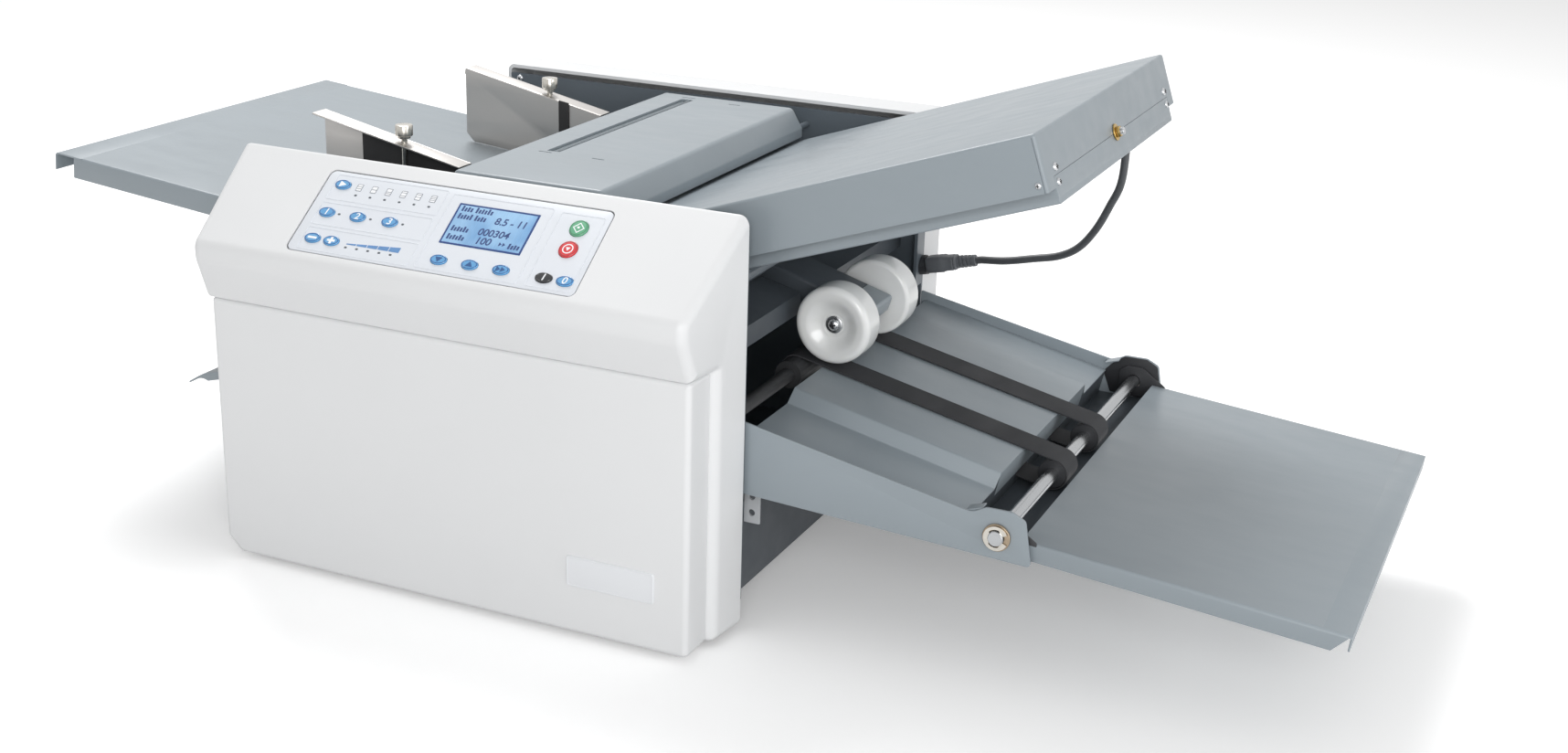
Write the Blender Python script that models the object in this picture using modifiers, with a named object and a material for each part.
"""Paper folding machine: feed tray, folding head, two fold plates and a stream conveyor.

Metres, +Z up. X runs the way the paper travels, from the feed tray to the conveyor, and the
operator stands on the -Y side. The origin is on the table, under the middle of the machine.
"""
import math

import bpy
import bmesh
import numpy as np
from mathutils import Matrix, Vector

# Clearances
fit_gap = 0.0003
running_gap = 0.0006
cut_overrun = 0.004

# Front panel and front cover; x = 0 is the panel's left edge and y = 0 its face
panel_width = 0.445
panel_depth = 0.033
panel_corner = 0.012
cover_wall = 0.0035
cover_depth = 0.073
cover_height = 0.344
slope_rise = 0.065
hood_band = 0.015
hood_undercut = 0.035
hood_reach = 0.014
hood_side_left = 0.0045
hood_side_right = 0.001
side_draft_share = 0.12
cover_edge_radius = 0.004
badge_width = 0.078
badge_height = 0.026
badge_thickness = 0.0012
badge_x = 0.377
badge_z = 0.055

# Rear cover
rear_cover_depth = 0.047
rear_cover_left = 0.014
rear_cover_right = 0.003
rear_cover_radius = 0.007

# Frame, feet and panels between the covers
frame_thickness = 0.003
frame_spacing = 0.4114
frame_left = 0.008
frame_right = 0.003
frame_below_cover = 0.008
frame_bottom = 0.0233
frame_flange = 0.016
frame_flange_below_lid = 0.064
frame_edge = 0.001
base_thickness = 0.003
foot_half_width = 0.012
foot_drop = 0.005
foot_inset = 0.03
tie_radius = 0.006
tie_low_z = 0.05
tie_high_drop = 0.134
tie_left_x = 0.03
tie_right_inset = 0.020
end_panel_thickness = 0.002
right_panel_top_drop = 0.246
left_panel_top_drop = 0.092
left_slot_low_drop = 0.23
left_slot_high_drop = 0.196

# Paper path: everything the sheet touches is centred on this line
path_offset = 0.2017
nip_inset = 0.160
nip_drop = 0.0948
upper_tilt = math.radians(19.1)
lower_tilt = math.radians(15.0)
roller_radius = 0.017
roller_half_width = 0.182
roller_shaft_radius = 0.006
gear_width = 0.009

# Feed tray
tray_left = 0.2335
tray_past_feed = 0.021
tray_tilt = math.radians(5.3)
tray_drop = 0.0375
tray_half_width = 0.197
tray_thickness = 0.0015
tray_lip = 0.016
tray_flange = 0.0195
tray_flange_setback = 0.021

# Side guides
guide_half_spacing = 0.112
guide_thickness = 0.0015
guide_length = 0.150
guide_before_lid = 0.030
guide_tip_rise = 0.07216
guide_fall = 0.030
guide_nose = 0.064
guide_nose_run = 0.008
guide_foot_clearance = 0.0006
guide_flange = 0.019
guide_foot = 0.018
guide_knob_along = 0.089
guide_knob_offset = 0.010
guide_travel_in = 0.063
guide_travel_out = 0.004
guide_stem_radius = 0.0025
knob_radius = 0.0075
knob_height = 0.012
knob_waist_share = 0.72
knob_head_share = 0.8
knob_lift = 0.004
clamp_disc_radius = 0.007
clamp_disc_height = 0.004

# Feed roller and separator pad
feed_before_nip = 0.080
feed_radius = 0.018
feed_tyre_half = 0.022
feed_shaft_radius = 0.005
separator_length = 0.030
separator_width = 0.060
separator_thickness = 0.0015

# Feeder cover
lid_before_feed = 0.025
lid_length = 0.149
lid_rise = 0.07468
lid_skirt_left = 0.0285
lid_skirt_right = 0.027
feeder_bevel_x = 0.011
feeder_bevel_z = 0.0185
feeder_wall = 0.002
feeder_half_width = 0.186
feeder_slot_along = 0.042
feeder_slot_width = 0.011
feeder_slot_half_length = 0.130
feeder_slot_centre = 0.035
feeder_hinge_radius = 0.003
feeder_hinge_inset = 0.006
feeder_hinge_drop = 0.0195

# Upper fold plate, measured along its slope from the first nip
plate_start = 0.020
upper_plate_end = 0.4194
upper_plate_height = 0.0438
upper_plate_wall = 0.002
upper_plate_half_width = 0.1844
lower_shell_inset = 0.0185
lower_shell_height = 0.0125
lower_shell_flap = 0.0083
lower_shell_wall = 0.0018
sheet_mouth_height = 0.0055
stop_screw_radius = 0.003
stop_screw_height = 0.009
stop_bar_at = 0.210
stop_bar_length = 0.012
stop_bar_half_width = 0.150
stop_bar_low = 0.0012
stop_bar_high = 0.016
stud_washer_radius = 0.0068
stud_washer_thickness = 0.0012
stud_head_radius = 0.0042
stud_head_length = 0.0065
support_rod_radius = 0.005
support_rod_near = 0.070
support_rod_far = 0.150

# Lower fold plate
lower_plate_start = 0.021
lower_plate_end = 0.400
lower_plate_thickness = 0.0075
lower_plate_half_width = 0.184
lower_plate_channel = 0.0035
lower_plate_wall = 0.0018
lower_lip_length = 0.022
lower_lip_drop = 0.003

# Exit guide, stacker arm and wheels
exit_guide_run = 0.080
exit_guide_inset = 0.020
exit_guide_drop = 0.1127
exit_guide_tilt = math.radians(13.0)
exit_guide_thickness = 0.002
exit_guide_flange = 0.018
exit_notch_half_width = 0.030
exit_notch_length = 0.050
arm_pivot_inset = 0.039
arm_pivot_drop = 0.0985
arm_tilt = math.radians(16.3)
arm_end = 0.105
arm_start = 0.009
arm_height = 0.016
arm_half_width = 0.026
arm_wall = 0.002
arm_pivot_radius = 0.004
wheel_reach = 0.081
wheel_drop = 0.1279
wheel_radius = 0.0337
wheel_width = 0.028
wheel_rim = 0.006
wheel_dish = 0.007
wheel_hub_radius = 0.009
wheel_bore_radius = 0.0042
wheel_axle_radius = 0.0038
wheel_spacer_radius = 0.0055
axle_head_radius = 0.0065
axle_head_height = 0.003

# Conveyor
conveyor_half_width = 0.201
conveyor_side_thickness = 0.002
conveyor_gap = 0.0075
conveyor_tilt = math.radians(12.5)
conveyor_top_drop = 0.168
conveyor_low_left_drop = 0.229
conveyor_low_right_drop = 0.242
conveyor_length = 0.2415
conveyor_end_inset = 0.0065
conveyor_end_drop = 0.2054
conveyor_shoulder_inset = 0.021
conveyor_shoulder_drop = 0.206
end_shaft_inset = 0.028
end_shaft_drop = 0.222
end_shaft_radius = 0.006
belt_pulley_radius = 0.012
belt_thickness = 0.0014
belt_width = 0.030
belt_offset = 0.0464
drive_roller_inset = 0.009
bed_before_shaft = 0.026
bed_inset = 0.007
bed_thickness = 0.0015
bed_drop = 0.007
bed_ramp = 0.008
bed_raised_half_width = 0.118
bed_flange = 0.021
bed_pan_gap = 0.0025
bed_pan_belt_room = 0.002
bed_pan_wall = 0.0074
bushing_flange_radius = 0.011
bushing_flange_thickness = 0.0022
bushing_barrel_radius = 0.0085
bushing_inner_thickness = 0.0015
retaining_ring_radius = 0.0078
retaining_ring_thickness = 0.0012
shaft_proud = 0.003

# Conveyor extension
extension_tilt = math.radians(5.3)
extension_after_shaft = 0.018
extension_length = 0.247
extension_end_drop = 0.2455
extension_thickness = 0.0015
extension_flange = 0.015
extension_lip = 0.013
extension_ear_radius = 0.014
extension_ear_thickness = 0.002

# Control panel, measured on the sloping face: across from its left edge, up from its front edge
control_left = 0.084
control_low = 0.0090
control_width = 0.265
control_height = 0.0848
control_recess = 0.0014
control_plate_thickness = 0.0012
control_ledge = 0.005
lcd_across_share = 0.631
lcd_up_share = 0.594
lcd_width = 0.0735
lcd_height = 0.0406
lcd_thickness = 0.0045
lcd_proud = 0.0004
oval_button_width = 0.0143
oval_button_height = 0.0090
round_button_radius = 0.0078
button_proud = 0.0016
button_depth = 0.0042
button_travel = 0.0006
button_gap = 0.0004

# Motor and power inlet
motor_x = 0.150
motor_z = 0.080
motor_radius = 0.034
motor_length = 0.120
motor_foot_width = 0.052
inlet_width = 0.046
inlet_height = 0.026
inlet_depth = 0.014
inlet_y = 0.430
inlet_z = 0.070

# Cable between the fold plate and its socket
socket_y = 0.486
socket_drop = 0.1455
socket_tilt = math.radians(12.9)
socket_radius = 0.0095
socket_length = 0.006
plug_length = 0.031
plug_width = 0.018
plug_height = 0.016
relief_length = 0.019
relief_radius = 0.0063
relief_tip_radius = 0.0056
relief_ribs = 5
relief_groove = 0.0008
cable_radius = 0.0036
cable_straight = 0.0048
gland_along = 0.383
gland_across = 0.159

# Bracket under the conveyor
bracket_y = 0.100
bracket_width = 0.014
bracket_low_drop = 0.264
bracket_high_drop = 0.232
bracket_thickness = 0.002
bracket_hole_radius = 0.003
bracket_hole_shares = (0.28, 0.72)

# Heights of the folding head and conveyor, each a drop from the top of the covers
tray_height = cover_height - tray_drop
nip_z = cover_height - nip_drop
exit_guide_z = cover_height - exit_guide_drop
arm_pivot_z = cover_height - arm_pivot_drop
wheel_z = cover_height - wheel_drop
conveyor_top_z = cover_height - conveyor_top_drop
conveyor_low_left = cover_height - conveyor_low_left_drop
conveyor_low_right = cover_height - conveyor_low_right_drop
conveyor_end_z = cover_height - conveyor_end_drop
conveyor_shoulder_z = cover_height - conveyor_shoulder_drop
end_shaft_z = cover_height - end_shaft_drop
extension_end_z = cover_height - extension_end_drop
right_panel_top = cover_height - right_panel_top_drop
left_panel_top = cover_height - left_panel_top_drop
left_slot_low = cover_height - left_slot_low_drop
left_slot_high = cover_height - left_slot_high_drop
tie_high_z = cover_height - tie_high_drop
socket_z = cover_height - socket_drop
bracket_low = cover_height - bracket_low_drop
bracket_high = cover_height - bracket_high_drop

# Derived places shared by many pieces
front_frame_y0 = cover_depth + fit_gap
front_frame_y1 = front_frame_y0 + frame_thickness
rear_frame_y0 = front_frame_y1 + frame_spacing
rear_frame_y1 = rear_frame_y0 + frame_thickness
rear_cover_y0 = rear_frame_y1 + fit_gap
rear_cover_y1 = rear_cover_y0 + rear_cover_depth
path_y = front_frame_y1 + path_offset
frame_x0 = -frame_left
frame_x1 = panel_width + frame_right
hood_band_top = cover_height - slope_rise
hood_band_bottom = hood_band_top - hood_band
panel_height = hood_band_bottom - hood_undercut
frame_top = cover_height - frame_below_cover
nip_x = panel_width - nip_inset
feed_x = nip_x - feed_before_nip
tray_right = feed_x + tray_past_feed
feeder_left = feed_x - lid_before_feed
feeder_right = feeder_left + lid_length
feeder_slot_x = feeder_left + feeder_slot_along
feeder_hinge_x = feeder_right - feeder_hinge_inset
guide_right = feeder_left - guide_before_lid
guide_left = guide_right - guide_length
guide_knob_x = guide_left + guide_knob_along
tie_right_x = panel_width - tie_right_inset
exit_guide_right = panel_width - exit_guide_inset
exit_guide_left = exit_guide_right - exit_guide_run
arm_pivot_x = exit_guide_right - arm_pivot_inset
wheel_x = arm_pivot_x + wheel_reach
conveyor_left = panel_width + conveyor_gap
conveyor_right = conveyor_left + conveyor_length
end_shaft_x = conveyor_right - end_shaft_inset
conveyor_end_x = conveyor_right - conveyor_end_inset
conveyor_shoulder_x = end_shaft_x - conveyor_shoulder_inset
drive_roller_x = panel_width - drive_roller_inset
bed_right = end_shaft_x - bed_before_shaft
extension_left = end_shaft_x + extension_after_shaft
extension_right = extension_left + extension_length
middle_x = (extension_right - tray_left) / 2
middle_y = (rear_cover_y1 - hood_reach) / 2



def tray_top(x):
    """Height of the feed tray's surface."""
    return tray_height - (x + tray_left) * math.tan(tray_tilt)


guide_tip_height = tray_top(guide_left) + guide_tip_rise
guide_end_height = guide_tip_height - guide_fall
feeder_top = tray_top(feed_x) + lid_rise
feeder_bottom_left = feeder_top - lid_skirt_left
feeder_bottom_right = feeder_top - lid_skirt_right
feeder_hinge_z = feeder_top - feeder_hinge_drop

collection = bpy.data.collections.new("paper_folding_machine")
cutters = bpy.data.collections.new("cutters")
materials = {}


def clear_scene():
    for old in list(bpy.data.objects):
        bpy.data.objects.remove(old, do_unlink=True)
    bpy.context.scene.collection.children.link(collection)
    bpy.context.scene.collection.children.link(cutters)


def material(name, colour, roughness, metallic):
    made = bpy.data.materials.new(name)
    made.use_nodes = True
    shader = made.node_tree.nodes["Principled BSDF"]
    shader.inputs["Base Color"].default_value = (*colour, 1.0)
    shader.inputs["Roughness"].default_value = roughness
    shader.inputs["Metallic"].default_value = metallic
    materials[name] = made


clear_scene()
material("cover_white", (0.80, 0.80, 0.79), 0.45, 0.0)
material("panel_white", (0.83, 0.83, 0.83), 0.35, 0.0)
material("grey_paint", (0.27, 0.31, 0.33), 0.45, 0.2)
material("dark_paint", (0.07, 0.08, 0.09), 0.5, 0.2)
material("stainless", (0.62, 0.62, 0.62), 0.3, 1.0)
material("nickel", (0.70, 0.66, 0.58), 0.25, 1.0)
material("brass", (0.62, 0.42, 0.18), 0.3, 1.0)
material("zinc", (0.55, 0.56, 0.56), 0.35, 1.0)
material("nylon", (0.88, 0.88, 0.86), 0.4, 0.0)
material("rubber_black", (0.03, 0.03, 0.03), 0.8, 0.0)
material("belt_black", (0.04, 0.04, 0.045), 0.7, 0.0)
material("plastic_black", (0.03, 0.03, 0.035), 0.4, 0.0)
material("plastic_grey", (0.16, 0.17, 0.17), 0.5, 0.0)
material("screen_blue", (0.30, 0.55, 0.85), 0.25, 0.0)
material("button_blue", (0.10, 0.28, 0.55), 0.4, 0.0)
material("button_green", (0.10, 0.40, 0.18), 0.4, 0.0)
material("button_red", (0.60, 0.05, 0.05), 0.4, 0.0)

root = bpy.data.objects.new("machine_origin", None)
collection.objects.link(root)
root.location = (-middle_x, -middle_y, foot_drop)

# Flat outlines are drawn in two axes; these turn them into the machine's planes
planes = {
    "XY": Matrix.Identity(4),
    "XZ": Matrix(((1, 0, 0, 0), (0, 0, -1, 0), (0, 1, 0, 0), (0, 0, 0, 1))),
    "YZ": Matrix(((0, 0, 1, 0), (1, 0, 0, 0), (0, 1, 0, 0), (0, 0, 0, 1))),
}
axis_turns = {
    "X": Matrix.Rotation(math.radians(90), 4, "Y"),
    "Y": Matrix.Rotation(math.radians(-90), 4, "X"),
    "Z": Matrix.Identity(4),
}


def put(name, mesh, look, frame):
    """Add a mesh as an object; a look of None makes it a cutter."""
    made = bpy.data.objects.new(name, mesh)
    (cutters if look is None else collection).objects.link(made)
    if look is None:
        made.hide_render = True
        made.display_type = "WIRE"
    else:
        mesh.materials.append(materials[look])
    made.parent = root
    made.matrix_basis = frame
    return made


def finish_mesh(bm, name):
    bmesh.ops.recalc_face_normals(bm, faces=bm.faces[:])
    mesh = bpy.data.meshes.new(name)
    bm.to_mesh(mesh)
    bm.free()
    return mesh


def box(name, low, high, look, frame=Matrix.Identity(4)):
    """A block between two corners; its origin is the frame's."""
    size = Vector(high) - Vector(low)
    middle = (Vector(high) + Vector(low)) / 2
    bm = bmesh.new()
    bmesh.ops.create_cube(bm, size=1.0)
    bmesh.ops.transform(bm, matrix=Matrix.Translation(middle) @ Matrix.Diagonal((*size, 1)), verts=bm.verts)
    return put(name, finish_mesh(bm, name), look, frame)


def cylinders(name, radius, ends, centres, axis, look, sides=12, frame=Matrix.Identity(4)):
    """Round bars along one axis between two ends, one for each pair of cross coordinates."""
    bm = bmesh.new()
    for first, second in centres:
        middle = (ends[0] + ends[1]) / 2
        place = {"X": (middle, first, second), "Y": (first, middle, second), "Z": (first, second, middle)}
        bmesh.ops.create_cone(
            bm, cap_ends=True, segments=sides, radius1=radius, radius2=radius, depth=ends[1] - ends[0],
            matrix=Matrix.Translation(place[axis]) @ axis_turns[axis])
    return put(name, finish_mesh(bm, name), look, frame)


def prism(name, outline, ends, plane, look, frame=Matrix.Identity(4)):
    """A flat outline made as thick as the distance between its ends."""
    curve = bpy.data.curves.new(name, "CURVE")
    curve.dimensions = "2D"
    curve.fill_mode = "BOTH"
    curve.extrude = abs(ends[1] - ends[0]) / 2
    spline = curve.splines.new("POLY")
    spline.points.add(len(outline) - 1)
    for point, (u, v) in zip(spline.points, outline):
        point.co = (u, v, 0.0, 1.0)
    spline.use_cyclic_u = True
    sketch = bpy.data.objects.new(name + "_outline", curve)
    collection.objects.link(sketch)
    bpy.context.view_layer.update()
    graph = bpy.context.evaluated_depsgraph_get()
    mesh = bpy.data.meshes.new_from_object(sketch.evaluated_get(graph))
    bpy.data.objects.remove(sketch)
    middle = (ends[0] + ends[1]) / 2
    normal = {"XY": (0, 0, middle), "XZ": (0, middle, 0), "YZ": (middle, 0, 0)}[plane]
    mesh.transform(Matrix.Translation(normal) @ planes[plane])
    bm = bmesh.new()
    bm.from_mesh(mesh)
    bpy.data.meshes.remove(mesh)
    bmesh.ops.remove_doubles(bm, verts=bm.verts, dist=fit_gap / 10)
    bmesh.ops.dissolve_limit(bm, angle_limit=math.radians(0.5), verts=bm.verts, edges=bm.edges)
    return put(name, finish_mesh(bm, name), look, frame)


def turned(name, profile, look, frame, sides=20, closed=False):
    """Turn a profile of (radius, height) about the frame's Z, listed from top to bottom."""
    bm = bmesh.new()
    points = [bm.verts.new((radius, 0.0, height)) for radius, height in profile]
    for first, second in zip(points, points[1:] + points[:1] if closed else points[1:]):
        bm.edges.new((first, second))
    mesh = bpy.data.meshes.new(name)
    bm.to_mesh(mesh)
    bm.free()
    made = put(name, mesh, look, frame)
    screw = made.modifiers.new("turn", "SCREW")
    screw.axis = "Z"
    screw.steps = sides
    screw.render_steps = sides
    screw.use_merge_vertices = True
    screw.merge_threshold = fit_gap / 10
    screw.use_smooth_shade = True
    return made


def cut(target, tool):
    step = target.modifiers.new("cut_" + tool.name, "BOOLEAN")
    step.operation = "DIFFERENCE"
    step.solver = "EXACT"
    step.object = tool


def join(target, tool):
    step = target.modifiers.new("join_" + tool.name, "BOOLEAN")
    step.operation = "UNION"
    step.solver = "EXACT"
    step.object = tool


def soften(target, width, segments=2, degrees=30):
    step = target.modifiers.new("soft_edges", "BEVEL")
    step.width = width
    step.segments = segments
    step.limit_method = "ANGLE"
    step.angle_limit = math.radians(degrees)


def pivot(made, point):
    """Move an object's origin to its joint without moving its shape."""
    shift = Vector(point)
    made.data.transform(Matrix.Translation(-shift))
    made.matrix_basis = made.matrix_basis @ Matrix.Translation(shift)


def offset_line(start, angle, along, across):
    """A point measured along and square to a sloping line in the XZ plane."""
    return (start[0] + along * math.cos(angle) - across * math.sin(angle),
            start[1] + along * math.sin(angle) + across * math.cos(angle))


def sloped(origin, angle):
    """A frame on the paper's centre line whose X climbs at the angle."""
    return Matrix.Translation((origin[0], path_y, origin[1])) @ Matrix.Rotation(-angle, 4, "Y")


def shaft_frame(x, z):
    """A frame for a turned piece whose own height runs along Y."""
    return Matrix.Translation((x, path_y, z)) @ axis_turns["Y"]


def hood_side(y, right):
    """Where the drafted side of the front cover stands at a given depth."""
    spread = side_draft_share * (y + hood_reach)
    return panel_width + hood_side_right + spread if right else -hood_side_left - spread


def drafted(made, inset):
    """Lean the two ends of a YZ prism out towards the back, as the moulding does."""
    for vertex in made.data.vertices:
        right = vertex.co.x > 0
        side = hood_side(vertex.co.y, right)
        vertex.co.x = side - inset if right else side + inset


# Front cover: a moulded hood with its control slope, running down into two side strips
slope_angle = math.atan2(cover_height - hood_band_top, cover_depth + hood_reach)
slope_frame = Matrix.Translation((0, -hood_reach, hood_band_top)) @ Matrix.Rotation(slope_angle, 4, "X")
sketch_half = panel_width / 2
rim_extra = 2 * cover_edge_radius
outer = [
    (cover_depth + rim_extra, 0), (cover_depth + rim_extra, cover_height), (cover_depth, cover_height),
    (-hood_reach, hood_band_top),
    (-hood_reach, hood_band_bottom), (0, panel_height + fit_gap),
    (panel_depth, panel_height + fit_gap), (panel_depth, 0)]
front_cover = prism("front_cover", outer, (-sketch_half, sketch_half), "YZ", "cover_white")
drafted(front_cover, 0)
soften(front_cover, cover_edge_radius)
slope_wall = cover_wall / math.cos(slope_angle)
inner = [
    (cover_depth + cut_overrun, -cut_overrun),
    (cover_depth + cut_overrun, cover_height - cover_wall),
    (cover_depth - cover_wall, cover_height - cover_wall - slope_wall),
    (cover_wall - hood_reach, hood_band_top - cover_wall / 2),
    (cover_wall - hood_reach, hood_band_bottom + cover_wall / 2),
    (cover_wall, panel_height + cover_wall), (panel_depth + cover_wall, panel_height + cover_wall),
    (panel_depth + cover_wall, -cut_overrun)]
hollow = prism("front_cover_hollow", inner, (-sketch_half, sketch_half), "YZ", None)
drafted(hollow, cover_wall)
cut(front_cover, hollow)
cut(front_cover, box("front_cover_trim", (-panel_width, cover_depth, -cut_overrun),
                     (2 * panel_width, cover_depth + 2 * rim_extra, cover_height + cut_overrun), None))
cut(front_cover, box("front_panel_room", (-panel_width, -cut_overrun, -cut_overrun),
                     (2 * panel_width, panel_depth, panel_height + fit_gap), None))
control_right = control_left + control_width
control_high = control_low + control_height
recess = box("control_recess", (control_left - fit_gap, control_low - fit_gap, -control_recess),
             (control_right + fit_gap, control_high + fit_gap, cut_overrun), None, slope_frame)
window = box("control_window", (control_left + control_ledge, control_low + control_ledge,
                                -cover_height / 4),
             (control_right - control_ledge, control_high - control_ledge, cut_overrun), None, slope_frame)
cut(front_cover, recess)
cut(front_cover, window)

# Front panel: a shallow tray that closes the front under the hood
front_panel = prism(
    "front_panel",
    [(panel_corner, 0), (panel_width, 0), (panel_width, panel_height), (0, panel_height),
     (0, panel_corner)],
    (0, panel_depth + cover_wall), "XZ", "cover_white")
soften(front_panel, cover_wall / 2, segments=1)
panel_hollow = prism(
    "front_panel_hollow",
    [(panel_corner + cover_wall / 2, cover_wall), (panel_width - cover_wall, cover_wall),
     (panel_width - cover_wall, panel_height - cover_wall), (cover_wall, panel_height - cover_wall),
     (cover_wall, panel_corner + cover_wall / 2)],
    (cover_wall, panel_depth + 2 * cut_overrun), "XZ", None)
cut(front_panel, panel_hollow)
cut(front_panel, box("front_panel_trim", (-cut_overrun, panel_depth - fit_gap, -cut_overrun),
                     (panel_width + cut_overrun, panel_depth + 2 * cut_overrun, panel_height + cut_overrun),
                     None))
badge_low = (badge_x - badge_width / 2, badge_z - badge_height / 2)
badge_high = (badge_x + badge_width / 2, badge_z + badge_height / 2)
badge = box("badge_plate", (badge_low[0], -badge_thickness, badge_low[1]),
            (badge_high[0], cover_wall / 2, badge_high[1]), None)
join(front_panel, badge)

# Rear cover: a plain box open towards the frame
rear_x0 = -rear_cover_left
rear_x1 = panel_width + rear_cover_right
rear_cover = box("rear_cover", (rear_x0, rear_cover_y0 - 2 * rear_cover_radius, 0),
                 (rear_x1, rear_cover_y1, cover_height), "cover_white")
soften(rear_cover, rear_cover_radius)
rear_hollow = box(
    "rear_cover_hollow", (rear_x0 + cover_wall, rear_cover_y0 - 3 * rear_cover_radius, cover_wall),
    (rear_x1 - cover_wall, rear_cover_y1 - cover_wall, cover_height - cover_wall), None)
cut(rear_cover, rear_hollow)
cut(rear_cover, box("rear_cover_trim", (rear_x0 - cut_overrun, rear_cover_y0 - 3 * rear_cover_radius,
                                        -cut_overrun),
                    (rear_x1 + cut_overrun, rear_cover_y0, cover_height + cut_overrun), None))

# Roller places: the sheet enters between rollers 1 and 2, leaves between rollers 3 and 4
upper_frame = sloped((nip_x, nip_z), upper_tilt)
roller_1 = offset_line((nip_x, nip_z), upper_tilt, 0, roller_radius)
roller_2 = offset_line((nip_x, nip_z), upper_tilt, 0, -roller_radius)
nip_2 = offset_line(roller_2, lower_tilt, 0, -roller_radius)
roller_3 = offset_line(roller_2, lower_tilt, 0, -2 * roller_radius)
roller_4 = (roller_3[0], roller_3[1] - 2 * roller_radius)
roller_places = [roller_1, roller_2, roller_3, roller_4]
feed_z = tray_top(feed_x) + separator_thickness + feed_radius


def bed_top(x):
    """Height of the plain part of the conveyor bed."""
    return conveyor_top_z - (x - conveyor_left) * math.tan(conveyor_tilt)


belt_outer_radius = belt_pulley_radius + belt_thickness
belt_slope = (end_shaft_x - drive_roller_x) * math.tan(conveyor_tilt)
drive_roller_z = end_shaft_z + belt_slope

# Upright side frames: folded plates with a bearing hole for every shaft
shaft_holes = [(place, roller_shaft_radius) for place in roller_places]
shaft_holes += [((feed_x, feed_z), feed_shaft_radius), ((drive_roller_x, drive_roller_z), end_shaft_radius)]


def pierce(plate, ends, holes, tag):
    for count, (place, radius) in enumerate(holes):
        cut(plate, cylinders(f"{plate.name}_{tag}_{count}", radius + fit_gap, ends, [place], "Y", None))


side_ends = {"side_frame_front": (hood_side(cover_depth, False) + frame_edge,
                                  hood_side(cover_depth, True) - frame_edge),
             "side_frame_rear": (frame_x0, frame_x1)}
for name, start, inward in (("side_frame_front", front_frame_y0, 1),
                            ("side_frame_rear", rear_frame_y0, -1)):
    low_x, high_x = side_ends[name]
    side_outline = [(low_x, frame_bottom), (high_x, frame_bottom), (high_x, frame_top), (low_x, frame_top)]
    plate = prism(name, side_outline, (start, start + frame_thickness), "XZ", "dark_paint")
    inner_face = start + frame_thickness if inward > 0 else start
    flange_y = (inner_face - fit_gap * inward, inner_face + frame_flange * inward)
    flange = box(name + "_flange", (frame_x1 - frame_thickness, min(flange_y),
                                    bed_top(conveyor_left) + cut_overrun),
                 (frame_x1, max(flange_y), feeder_top - frame_flange_below_lid), None)
    join(plate, flange)
    pierce(plate, (start - cut_overrun, start + frame_thickness + cut_overrun), shaft_holes, "hole")

# Base plate folded up at both ends, standing on two rubber runners
base_x0 = frame_x0
base_x1 = panel_width
base_plate = box("base_plate", (base_x0, front_frame_y0, frame_bottom - fit_gap - base_thickness),
    (base_x1, rear_frame_y1, frame_bottom - fit_gap), "dark_paint")
for tag, foot_y in (("front", front_frame_y0 + foot_inset), ("rear", rear_frame_y1 - foot_inset)):
    runner = box(f"rubber_foot_{tag}", (base_x0 + foot_inset, foot_y - foot_half_width, -foot_drop),
                 (base_x1 - foot_inset, foot_y + foot_half_width,
                  frame_bottom - 2 * fit_gap - base_thickness),
                 "rubber_black")
    soften(runner, foot_drop / 2, segments=1)
panel_y = (front_frame_y1 + fit_gap, rear_frame_y0 - fit_gap)
join(base_plate, box("right_end_panel", (base_x1 - end_panel_thickness, panel_y[0],
                                         frame_bottom - base_thickness),
                     (base_x1, panel_y[1], right_panel_top), None))
left_panel_x = base_x0 + end_panel_thickness
join(base_plate, box("left_end_panel", (base_x0, panel_y[0], frame_bottom - base_thickness),
                     (left_panel_x, panel_y[1], left_panel_top), None))
slot_half = lower_plate_half_width + lower_plate_thickness
cut(base_plate, box("left_panel_slot", (base_x0 - cut_overrun, path_y - slot_half, left_slot_low),
                        (left_panel_x + cut_overrun, path_y + slot_half, left_slot_high), None))
inlet_half = (inlet_width / 2 + fit_gap, inlet_height / 2 + fit_gap)
cut(base_plate, box("inlet_opening", (base_x0 - cut_overrun, inlet_y - inlet_half[0],
                                      inlet_z - inlet_half[1]),
                        (left_panel_x + cut_overrun, inlet_y + inlet_half[0], inlet_z + inlet_half[1]),
                        None))
# Power inlet in the left end of the base
inlet_x0 = base_x0 - end_panel_thickness / 2
power_inlet = box("power_inlet", (inlet_x0, inlet_y - inlet_width / 2, inlet_z - inlet_height / 2),
                  (inlet_x0 + inlet_depth, inlet_y + inlet_width / 2, inlet_z + inlet_height / 2),
                  "plastic_black")
inlet_rim = end_panel_thickness
cut(power_inlet, box("inlet_socket", (inlet_x0 - cut_overrun, inlet_y - inlet_width / 2 + inlet_rim,
                                      inlet_z - inlet_height / 2 + inlet_rim),
                     (inlet_x0 + inlet_depth - inlet_rim, inlet_y + inlet_width / 2 - inlet_rim,
                      inlet_z + inlet_height / 2 - inlet_rim), None))

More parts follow.
